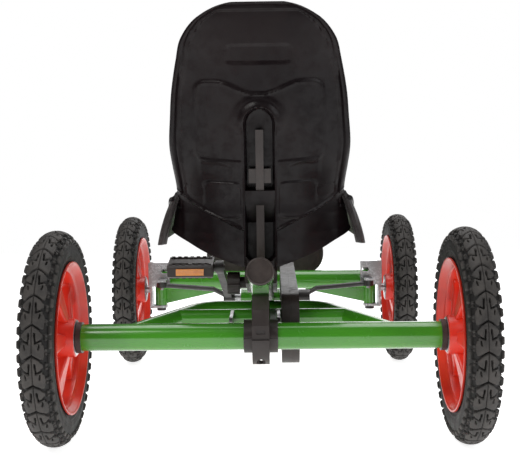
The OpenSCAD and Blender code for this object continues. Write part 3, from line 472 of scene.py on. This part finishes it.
red = Finish("red_plastic", subsurface_weight=0.08, subsurface_scale=0.004, coat_roughness=0.25)
red_cloud = red.noise(22, 2)
red_grain = red.noise(1300, 2, 0.5)
red_scuff = red.noise(90, 6, 0.7)
red_plastic = red.surface(
    base_color=red.mix(red.fade(red_cloud, 0.35, 0.7), (0.72, 0.032, 0.012, 1), (0.60, 0.022, 0.010, 1)),
    roughness=red.fade(red_scuff, 0.35, 0.7, 0.28, 0.42),
    coat_weight=red.fade(red_scuff, 0.7, 0.4, 0.1, 0.35),
    normal=red.bump(red_grain, 0.0001, 0.4))
washer_profile = [(-0.0286, 0.0130), (-0.0288, 0.0255), (-0.0284, 0.0262), (-0.0276, 0.0262),
                  (-0.0276, 0.0130)]
for wheel in wheels:
    rim_points, rim_faces = gathered(rim_parts())
    rim = wheel_piece("spoked_rim_" + wheel, wheel, rim_points, rim_faces, red_plastic, 35)
    stands_for(rim, wheels[wheel][1], "red_plastic", "rim_" + wheel)
    washer = wheel_piece("hub_washer_" + wheel, wheel, *revolved(washer_profile, 64), zinc_steel, 35)
    stands_for(washer, wheels[wheel][1], "zinc_steel")

# ---------------------------------------------------------------------- tyres
# Air tyres of grey-black rubber: a round casing, a centre band cut by chevron and
# hooked sipes, a row of small studs and square shoulder knobs, ribbed side walls.

casing_mid_r = tyre_r - 0.026
casing_r = 0.0219
tread_depth = 0.0040
pitches = 24
pitch_columns = 34
pitch = 2 * np.pi * (tyre_r - 0.002) / pitches


def tyre_section():
    """Rows round the closed section: (across, radius, normal across, normal out, place on tread).

    Tread rows lie on a circle, wall rows bow down to the bead and inner rows return inside.
    """
    lean = np.radians(np.linspace(-74, 74, 59))
    tread = np.stack([casing_r * np.sin(lean), casing_mid_r + casing_r * np.cos(lean),
                      np.sin(lean), np.cos(lean), 0.026 * lean], axis=-1)
    fall = np.linspace(0, 1, 19)[1:]
    radius = tread[-1, 1] + (0.1115 - tread[-1, 1]) * fall
    off = (radius - casing_mid_r) / casing_r
    round_part = casing_r * np.sqrt(np.clip(1 - off ** 2, 0, 1))
    across = np.where(off > 0, round_part, casing_r - 0.0032 * off ** 2)
    rib = sum(0.0009 * np.exp(-((radius - r) / 0.0011) ** 2) for r in (0.1195, 0.1245, 0.1285))
    wall = np.stack([across + rib, radius, 1 + 0 * radius, 0 * radius, 0.036 + 0 * radius], axis=-1)
    bead = np.array([[0.0187, 0.1088, 1, 0, 0.04], [0.0170, 0.1083, 0, -1, 0.04],
                     [0.0120, 0.1083, 0, -1, 0.04]])
    inner = np.array([[0.0140, 0.1160, -1, 0, 0.04], [0.0174, 0.1330, -1, 0, 0.04],
                      [0.0123, 0.1453, 0, -1, 0.04], [0, 0.1505, 0, -1, 0.04]])
    flip = np.array([-1, 1, -1, 1, -1])
    right = np.concatenate([wall, bead, inner])
    left = (right[:-1] * flip)[::-1]
    return np.concatenate([left, tread, right])


def from_line(x, y, start, end):
    """Distance of points from a straight line between two ends."""
    ax, ay = start
    dx, dy = end[0] - ax, end[1] - ay
    along = np.clip(((x - ax) * dx + (y - ay) * dy) / (dx * dx + dy * dy), 0, 1)
    return np.hypot(x - ax - along * dx, y - ay - along * dy)


def eased(value, low, high):
    """0 below low, 1 above high and a smooth S between."""
    t = np.clip((value - low) / (high - low), 0, 1)
    return t * t * (3 - 2 * t)


def tread_pattern(place, along):
    """Height of the tread, 0 to 1, at a place across it and a distance along one pitch.

    Sipes and pockets are the points near a few lines, repeated a pitch above and below.
    """
    x = np.abs(place) * 1000
    y = along * 1000
    p = pitch * 1000
    hook = 0.56 * p
    cuts = [((0, 0.4), (12.5, -7.0), 1.15), ((12.5, -7.2), (17, -10.5), 2.1),
            ((3.9, hook + 6.5), (5.2, hook - 6.5), 0.95), ((5.2, hook - 6.5), (14, hook - 2.2), 1.0),
            ((14, hook - 2), (17.5, hook - 0.5), 2.0), ((9.6, 0.20 * p), (10.4, 0.36 * p), 0.6)]
    solid = np.ones_like(x)
    for start, end, half in cuts:
        for shift in (-p, 0, p):
            gap = from_line(x, y, (start[0], start[1] + shift), (end[0], end[1] + shift))
            solid = np.minimum(solid, eased(gap, half - 0.5, half + 0.5))
    centre = 1 - 0.42 * (1 - eased(x, 0.3, 1.0))
    edge = 16.6 + 1.3 * np.sign(np.sin(2 * np.pi * (y / p + 0.12))) + 0.7 * np.sin(4 * np.pi * y / p)
    band = (1 - eased(x, edge - 0.5, edge + 0.6)) * solid * centre
    stud_y = np.abs((y / p * 2 + 0.30) % 1 - 0.5) * p / 2
    stud = (1 - eased(np.abs(x - 21.6), 2.0, 2.9)) * (1 - eased(stud_y, 4.2, 5.2)) * 0.72
    stud = stud * (1 - 0.5 * (1 - eased(stud_y, 0.5, 1.2)))
    knob_y = np.abs((y / p * 2 + 0.80) % 1 - 0.5) * p / 2
    knob = eased(x, 25.4, 26.4) * (1 - eased(x, 32.0, 33.4)) * (1 - eased(knob_y, 5.6, 6.8))
    return np.maximum(np.maximum(band, stud), knob)


def tyre_parts():
    """Casing points raised along their normals by the tread pattern, with that height kept."""
    section = tyre_section()
    columns = pitches * pitch_columns
    turn = np.arange(columns) * 2 * np.pi / columns
    along = (np.arange(columns) % pitch_columns) * pitch / pitch_columns
    height = tread_pattern(section[:, 4:5] + 0 * along, along + 0 * section[:, 4:5])
    height = height * (np.abs(section[:, 4:5]) < 0.0345)
    lift = height * tread_depth
    across = section[:, 0:1] + lift * section[:, 2:3]
    radius = section[:, 1:2] + lift * section[:, 3:4]
    points = np.stack([across, -radius * np.cos(turn), radius * np.sin(turn)], axis=-1)
    return (*outward(points.reshape(-1, 3), grid_faces(len(section), columns, True, True)), height.ravel())


rubber = Finish("tyre_rubber", specular_ior_level=0.4)
rubber_top = rubber.painted("tread_height")
rubber_dust = rubber.noise(55, 5, 0.7)
rubber_grain = rubber.noise(900, 3, 0.6)
# Colour follows tread height: the tops are paler and the grooves darker. This is partly dusty wear on the
# tops, and partly painted shade in the grooves and painted highlight on the tops.
rubber_wear_and_groove_shade = rubber_top * rubber.fade(rubber_dust, 0.32, 0.68, 0.35, 1.0)
tyre_rubber = rubber.surface(
    base_color=rubber.mix(rubber_wear_and_groove_shade, (0.0085, 0.0078, 0.0075, 1), (0.060, 0.054, 0.050, 1)),
    roughness=rubber.fade(rubber_dust, 0.3, 0.7, 0.56, 0.74),
    normal=rubber.bump(rubber_grain, 0.00025, 0.5))
tyre_points, tyre_faces, tyre_height = tyre_parts()
for wheel in wheels:
    tyre = wheel_piece("air_tyre_" + wheel, wheel, tyre_points, tyre_faces, tyre_rubber, 60)
    tyre.data.attributes.new("tread_height", "FLOAT", "POINT").data.foreach_set("value", tyre_height)
    stands_for(tyre, wheels[wheel][1], "tyre_rubber", "tyre_" + wheel)

# ------------------------------------------------------------- steering wheel
# Polyurethane rim foamed over a steel ring, with three flat moulded spokes and a
# round pad. Its hub clamps on the upper column, which slides in the lower one.

column_foot = np.array([0, 0.304, axle_z])
column_lean = math.radians(28)
wheel_reach = 0.431
wheel_ring_r = 0.133
wheel_grip_r = 0.012
wheel_spokes = (90, 210, 330)


def on_column(points):
    """Carries points from the wheel's own axes (across, up the wheel, along the column) to the kart's."""
    c, s = math.cos(column_lean), math.sin(column_lean)
    turn = np.array([[1, 0, 0], [0, c, s], [0, -s, c]])
    return (np.asarray(points) + [0, 0, wheel_reach]) @ turn + column_foot


def grip_ring():
    """A ring with 44 finger grooves, 9% of its section deep inside and fading out towards the outside."""
    turn = np.arange(352) * 2 * np.pi / 352
    around = np.arange(32) * 2 * np.pi / 32
    groove = 0.5 - 0.5 * np.cos(44 * turn[:, None])
    inside = 0.5 - 0.5 * np.cos(around)
    r = wheel_grip_r * (1 - 0.09 * groove ** 3 * inside)
    reach = wheel_ring_r + r * np.cos(around)
    points = np.stack([reach * np.cos(turn)[:, None], reach * np.sin(turn)[:, None],
                       0.006 + r * np.sin(around)], axis=-1)
    return outward(points.reshape(-1, 3), grid_faces(352, 32, True, True))


def wheel_arm(degrees):
    """A flat rounded bar from the pad to the ring, waisted halfway and lifting towards the ring."""
    out = np.linspace(0.026, 0.127, 24)
    share = np.linspace(0, 1, 24)
    half = 0.0175 - 0.0055 * np.sin(np.pi * share) ** 1.2 + 0.003 * share ** 6
    c, s = squared_circle(28, 4)
    lift = 0.001 + 0.005 * share ** 2
    aside, rise = half[:, None] * c, lift[:, None] + 0.0042 * s
    a = math.radians(degrees)
    return lofted(np.stack([out[:, None] * math.cos(a) - aside * math.sin(a),
                            out[:, None] * math.sin(a) + aside * math.cos(a), rise], axis=-1))


def turned(profile, steps=96):
    """Points and faces of a closed profile (along, radius) turned about the third axis."""
    along, radius = np.asarray(profile, float).T
    turn = np.arange(steps) * 2 * np.pi / steps
    radius, along = radius[:, None], along[:, None]
    points = np.stack([radius * np.cos(turn), radius * np.sin(turn), along + 0 * turn], axis=-1)
    return outward(points.reshape(-1, 3), grid_faces(len(along), steps, True, True))


wheel_pad = [(-0.022, 0.0085), (-0.022, 0.0228), (-0.0212, 0.0238), (-0.006, 0.025), (-0.003, 0.0275),
             (-0.001, 0.0325), (0.0005, 0.034), (0.0065, 0.034), (0.0085, 0.0328), (0.0095, 0.0305),
             (0.0092, 0.0285), (0.0098, 0.0265), (0.0122, 0.018), (0.0132, 0.008), (0.0134, 0.0002),
             (0.0008, 0.0002), (0.0008, 0.0085)]
grip_foam = Finish("grip_rubber", specular_ior_level=0.35)
foam_cells = grip_foam.node("ShaderNodeTexVoronoi", {}, {"Vector": grip_foam.place, "Scale": 950.0}, 0)
foam_wear = grip_foam.noise(45, 5, 0.7)
grip_rubber = grip_foam.surface(
    base_color=grip_foam.mix(grip_foam.fade(foam_wear, 0.4, 0.7),
                             (0.014, 0.013, 0.013, 1), (0.038, 0.034, 0.032, 1)),
    roughness=grip_foam.fade(foam_wear, 0.35, 0.7, 0.72, 0.5),
    normal=grip_foam.bump(foam_cells, 0.0003, 0.6))
wheel_parts = gathered([grip_ring(), turned(wheel_pad)] + [wheel_arm(a) for a in wheel_spokes])
steering_wheel = as_piece("steering_wheel_rim", on_column(wheel_parts[0]), wheel_parts[1], grip_rubber, 42)
stands_for(steering_wheel, "steering_upper", "grip_rubber", "steering_wheel")

# ---------------------------------------------------------- reflectors, chains
# Amber polycarbonate reflectors snapped into both long sides of each pedal, their
# backs moulded in small prisms; and roller chain of oiled spring steel.

lens = Finish("amber_lens", coat_weight=0.8, coat_roughness=0.05, specular_ior_level=0.6)
prisms = lens.node("ShaderNodeTexVoronoi", {"distance": "CHEBYCHEV"}, {
    "Vector": lens.place, "Scale": 420.0, "Randomness": 0.12}, 0)
painted_glint_and_gloss = lens.noise(90, 3)
# The amber is paler and deeper across the prism cells and in patches of noise: painted glints from the
# prisms. The same noise also varies the gloss.
amber_lens = lens.surface(
    base_color=lens.mix(lens.fade(prisms + 0.4 * painted_glint_and_gloss, 0.25, 0.85),
                        (0.86, 0.30, 0.012, 1), (0.60, 0.17, 0.008, 1)),
    roughness=lens.fade(painted_glint_and_gloss, 0.35, 0.7, 0.10, 0.24),
    normal=lens.bump(prisms, 0.0005, 0.6))
dress(amber_lens, "reflectors_left", "reflectors_right")

oiled = Finish("chain_steel", metallic=1.0)
chain_along = oiled.node("ShaderNodeSeparateXYZ", {}, {"Vector": oiled.place}, "Y")
chain_pitch = 0.0127
half_links = oiled.node("ShaderNodeMath", {"operation": "PINGPONG"}, {0: chain_along, 1: chain_pitch / 2})
links = half_links * (2 / chain_pitch)
grime = oiled.noise(150, 4, 0.7)
chain_steel = oiled.surface(
    base_color=oiled.mix(oiled.fade(grime * 0.6 + links * 0.5, 0.35, 0.8),
                         (0.05, 0.043, 0.035, 1), (0.33, 0.31, 0.28, 1)),
    roughness=oiled.fade(grime, 0.3, 0.7, 0.28, 0.5),
    normal=oiled.bump(oiled.fade(links, 0.2, 0.5), 0.0012, 0.8))
dress(chain_steel, "long_chain", "short_chain")

# ------------------------------------------------------------------ end plug
# A polyethylene plug pushed into the open top end of the main tube: a blank
# round face inside a low raised rim.

rail_end = np.array([0, -0.375, 0.257])
rail_slope = math.radians(11.75)
plug_profile = [(-0.017, 0.0002), (-0.017, 0.0155), (-0.0005, 0.0165), (0.0006, 0.0167), (0.0006, 0.0196),
                (0.0014, 0.0205), (0.0048, 0.0205), (0.0064, 0.0199), (0.0072, 0.0187), (0.0071, 0.0176),
                (0.0062, 0.0170), (0.0060, 0.0150), (0.0064, 0.0080), (0.0065, 0.0002)]


def on_rail(points):
    """Carries points from the plug's own axes to the main tube's end, its third axis out of the tube."""
    c, s = math.cos(rail_slope), math.sin(rail_slope)
    turn = np.array([[1, 0, 0], [0, s, c], [0, -c, s]])
    return np.asarray(points) @ turn + rail_end


plug_parts = turned(plug_profile, 96)
plug_black = moulded("plug_plastic", (0.020, 0.0135, 0.0115, 1), (0.040, 0.029, 0.025, 1), 0.0002, 0.5, 0.4)
tube_plug = as_piece("main_tube_plug", on_rail(plug_parts[0]), plug_parts[1], plug_black, 40)
stands_for(tube_plug, "frame", "black_plastic", "tube_end_cap")

# ----------------------------------------------------------------------- seat
# A bucket seat blow-moulded in black polyethylene: the back is one skin with a
# rolled lip, a deep channel for the seat bar and pressed panels, and runs down
# into a ribbed skirt; the pan curves forward from it with bolstered sides.

# Rows: distance ahead of the rear axle, height above it, half width and how far the sides wrap, in mm
seat_back_rows = np.array([
    [3, 490, 40, 3], [6, 471, 88, 9], [11, 441, 115, 20], [17, 407, 125, 30], [25, 361, 134, 40],
    [32, 321, 138, 46], [40, 278, 141, 52], [47, 241, 137, 56], [56, 201, 132, 60], [58, 176, 137, 65],
    [59.5, 156, 141, 69], [60.2, 146, 142.5, 70.5], [61, 132, 116, 43], [62, 117, 86, 21],
    [63, 104, 50, 5.7], [63.5, 96, 27, 1.3]])
seat_pan_rows = np.array([
    [53, 214, 131, 56], [60, 192, 131.5, 58], [76, 168, 136, 60], [104, 147, 145, 58], [150, 137, 151, 54],
    [200, 136, 153, 46], [245, 141, 147, 34], [285, 149, 136, 20], [308, 151, 119, 9], [320, 146, 96, 3],
    [325, 142, 60, 2], [326, 141, 20, 1]])
back_wall = 4
pan_wall = 5
channel_half = 23
channel_deep = 20
channel_arch = 315
crease_low = 128
crease_slope = 0.505


def through(rows, steps, before=None):
    """Catmull-Rom curve through rows of numbers, so many steps to each span.

    It ends straight, and starts as if it came from the row before, or straight without one.
    """
    first = 2 * rows[0] - rows[1] if before is None else before
    held = np.concatenate([[first], rows, [2 * rows[-1] - rows[-2]]])
    share = np.arange((len(rows) - 1) * steps + 1) / steps
    span = np.minimum(share.astype(int), len(rows) - 2)
    t = (share - span)[:, None]
    a, b, c, d = (held[span + k] for k in range(4))
    bend, twist = 2 * a - 5 * b + 4 * c - d, 3 * b - a - 3 * c + d
    return 0.5 * (2 * b + (c - a) * t + bend * t ** 2 + twist * t ** 3)


def facing(rows):
    """Unit normals, towards the driver, of the side curve that the rows' first two numbers draw."""
    along = np.gradient(rows[:, :2], axis=0)
    along /= np.linalg.norm(along, axis=1)[:, None]
    return np.stack([-along[:, 1], along[:, 0]], axis=-1)


def plateau(x, y, half_x, half_y, corner):
    """Distance inside a rounded rectangle about the origin: positive inside, negative outside."""
    dx, dy = np.abs(x) - half_x + corner, np.abs(y) - half_y + corner
    return corner - np.hypot(np.maximum(dx, 0), np.maximum(dy, 0)) - np.minimum(np.maximum(dx, dy), 0)


def bump_at(value, centre, width):
    """Bell curve: 1 at the centre, falling to 1/e a width away."""
    return np.exp(-((value - centre) / width) ** 2)


def seat_relief(x, up, half):
    """How far the back's skin stands towards the rear, in millimetres, at a place on it."""
    side = np.abs(x)
    edge = np.minimum((half - side) * 0.95, np.where(up > 380, 494 - up, 99))
    lip = 5.0 * np.sqrt(np.clip(1 - ((edge - 4.5) / 4.5) ** 2, 0, 1)) + 2.4 * (1 - eased(edge, 14.5, 17))
    lip = lip * eased(up, 165, 215)
    arch = np.hypot(x, np.maximum(up - channel_arch, 0)) - channel_half
    hood = 5.5 * bump_at(arch, 3.5, 6.5) * eased(up, 292, 318)
    hood = hood + 1.2 * bump_at(arch, 15, 4) * eased(up, 300, 330)
    frame_lip = 1.3 * bump_at(arch, 1.2, 1.8)
    peak = 358 + 18 * eased(side, 5, 66)
    panel = plateau(side, np.maximum(up, 250) - peak + 60, 97, 60, 16)
    panel = (1.6 * eased(panel, -1.5, 1.5) + 1.3 * bump_at(panel, 0, 1.9)) * eased(up, 190, 285)
    pad = plateau(side - 58, up - 199, 28, 27, 8)
    pad = 1.8 * eased(pad, -1.2, 1.2) + 0.7 * bump_at(pad, 0, 1.6)
    step = 1.1 * (1 - eased(up - 0.06 * side, 256, 258.5)) * eased(up, 225, 240)
    step = step * plateau_mask(side, 28, 92)
    badge = -1.4 * eased(plateau(x, up - 416, 47, 13, 7), -0.8, 1.2)
    crease = up - (crease_low + 11 + crease_slope * side)
    below = 1 - eased(crease, -1.5, 0.5)
    skirt = 2.2 * bump_at(crease, 1.5, 1.6) - 6.5 * below + 1.8 * bump_at(crease, -17, 1.1)
    ribs = below * sum(1.0 * bump_at(side, place, 0.7) for place in (33, 47)) * (side < 70)
    centre = 1 - eased(channel_half + 3 - side, 0, 1.5)
    return lip + hood + frame_lip + panel + pad * centre + step + badge + (skirt + ribs) * centre


def plateau_mask(value, low, high):
    """1 between low and high, with eased ends."""
    return eased(value, low - 2, low + 2) * (1 - eased(value, high - 2, high + 2))


def seat_skin(rows, wall, at_back):
    """A closed slab: the outer skin from left to right, then the inner skin from right to left.

    The back also has the seat bar's channel and the pressed relief. Each row bends forward
    by wrap * |x / half| ** 2.4 along the side curve's normal.
    """
    normal = facing(rows)
    half = rows[:, 2:3]
    core = np.minimum(channel_half, 0.3 * half) / channel_half
    inner = np.linspace(0, 30, 27)
    share = 1 - (1 - np.linspace(0, 1, 34)[1:]) ** 1.25
    right = np.concatenate([inner * core, 30 * core + (half - 30 * core) * share], axis=1)
    x = np.concatenate([-right[:, :0:-1], right], axis=1)
    depth = rows[:, 3:4] * np.abs(x / half) ** 2.4
    arch = np.hypot(x, np.maximum(rows[:, 1:2] - channel_arch, 0)) - channel_half * core
    sunk = channel_deep * (1 - eased(arch, -3.4, 0.4)) * at_back
    rise = seat_relief(x, rows[:, 1:2], half) * at_back
    sheets = []
    for push in (depth + sunk - rise, depth + sunk + wall):
        ahead, up = (rows[:, k:k + 1] + normal[:, k:k + 1] * push for k in (0, 1))
        sheets.append(np.stack([x, ahead, up], axis=-1))
    ring = np.concatenate([sheets[0], sheets[1][:, ::-1]], axis=1)
    return lofted(ring / 1000 + [0, rear_y, axle_z])


def side_bolster(side):
    """The pan's turned-down side: out from the pan's edge, down a bowed face, and back up inside."""
    rows = through(seat_pan_rows, 6)[9:50]
    edge = np.stack([rows[:, 2], *(rows[:, :2] + facing(rows) * rows[:, 3:4]).T], axis=-1)[:, None]
    run = np.linspace(0, 1, len(rows))[:, None]
    hem = 131 - 4 * np.sin(np.pi * run) + 30 * run ** 3
    k = np.linspace(0, 1, 15)
    fall = eased(k, 0, 1) * 0.35 + 0.65 * k
    out = 2 + 9 * np.sin(np.clip(k * 1.1, 0, 1) * np.pi / 2) + 10 * fall * (1 - run) ** 0.7
    up = edge[..., 2] + (hem - edge[..., 2]) * fall
    across = edge[..., 0] + out - 6 * (1 - run) * (1 - k)
    ahead = edge[..., 1] - 5.6 * (1 - run) * np.sin(np.pi * k)
    outer = np.stack([across, ahead, up], axis=-1)
    inner = outer - np.array([4.0, 0, 0]) - np.array([0, 0, 1.5]) * (1 - k)[None, :, None]
    ring = np.concatenate([outer, inner[:, ::-1]], axis=1) * [side, 1, 1]
    return lofted(ring / 1000 + [0, rear_y, axle_z])


seat_black = Finish("seat_plastic", specular_ior_level=0.16, coat_roughness=0.22)
seat_cloud = seat_black.noise(7, 3)
seat_scuff = seat_black.noise(60, 6, 0.72)
seat_grain = seat_black.noise(1900, 2, 0.5)
seat_pores = seat_black.node("ShaderNodeTexVoronoi", {}, {"Vector": seat_black.place, "Scale": 700.0}, 0)
seat_plastic = seat_black.surface(
    base_color=seat_black.mix(seat_black.fade(seat_cloud * 0.7 + seat_scuff * 0.3, 0.4, 0.64),
                              (0.0040, 0.0020, 0.0027, 1), (0.0105, 0.0065, 0.0070, 1)),
    roughness=seat_black.fade(seat_scuff, 0.35, 0.7, 0.30, 0.46),
    coat_weight=seat_black.fade(seat_scuff, 0.7, 0.4, 0.0, 0.12),
    normal=seat_black.bump(seat_grain * 0.6 + seat_pores * 0.4, 0.00012, 0.4))
back_start = seat_back_rows[0] * [1, 1, -1, 1]
seat_parts = [seat_skin(through(seat_back_rows, 21, back_start), back_wall, True),
              seat_skin(through(seat_pan_rows, 6), pan_wall, False)]
seat = as_piece("bucket_seat", *gathered(seat_parts), seat_plastic, 38)
stands_for(seat, "seat", "seat_plastic", "seat_shell", "seat_skirt")
# The side bolsters are the seat's own black plastic, coloured a lighter grey as a painted highlight for the
# light falling on their outer faces.
bolster_painted_highlight_finish = moulded("bolster_painted_highlight", (0.034, 0.029, 0.029, 1), (0.062, 0.055, 0.054, 1),
                         0.00012, 0.42, 0.26)
bolster_parts = gathered([side_bolster(-1), side_bolster(1)])
bolsters = as_piece("seat_side_bolsters", *bolster_parts, bolster_painted_highlight_finish, 38)
stands_for(bolsters, "seat", "seat_plastic")

# -------------------------------------------------------------- nose fairing
# A thin moulded shield bolted to the steering head's bracket: one curved sheet
# with rounded corners, a rolled rim and a shallow pressed panel.

fairing_half = 0.130
fairing_low, fairing_high = axle_z + 0.017, axle_z + 0.171
fairing_face_y = 0.420
fairing_curve = 0.220
fairing_wall = 0.004


def fairing_shell():
    """Rings from the middle of the front sheet out round the rim and back over the rear sheet.

    Each ring is a squared ellipse, narrowed by 12% towards the top, laid on an upright cylinder.
    """
    c, s = squared_circle(160, 3.4)
    half_high = (fairing_high - fairing_low) / 2
    rim_reach = 0.965 + 0.035 * np.sin(np.linspace(-1.2, 1.57, 8))
    reach = np.concatenate([np.linspace(0.01, 0.93, 40), rim_reach])
    reach = np.concatenate([reach, reach[::-1]])[:, None]
    x, up = fairing_half * reach * c, half_high * reach * s
    x = x * (1 - 0.12 * eased(up / half_high, -0.4, 1))
    front = np.arange(len(reach))[:, None] < len(reach) // 2
    rim = np.sqrt(np.clip(1 - ((reach - 0.965) / 0.035).clip(0) ** 2, 0, 1))
    depth = fairing_wall / 2 * (1 - np.where(front, 1, -1) * rim)
    panel = 0.0016 * (eased(reach, 0.60, 0.64) - eased(reach, 0.90, 0.93))
    y = fairing_face_y - fairing_curve + np.sqrt((fairing_curve - depth - 0.0016 + panel) ** 2 - x ** 2)
    return lofted(np.stack([x, y, fairing_low + half_high + up], axis=-1))


def fairing_boss():
    """The block behind the sheet that meets the head's bracket: a squared ellipse, square to the kart."""
    c, s = squared_circle(64, 8)
    y = np.array([0.3961, 0.3961, 0.3975, 0.414])[:, None]
    grow = np.array([0.02, 0.96, 1, 1])[:, None]
    return lofted(np.stack([0.0238 * grow * c, y + 0 * c, axle_z + 0.062 + 0.0158 * grow * s], axis=-1))


fairing = as_piece("nose_shield", *gathered([fairing_shell(), fairing_boss()]), black_plastic, 40)
stands_for(fairing, "frame", "black_plastic", "nose_fairing")
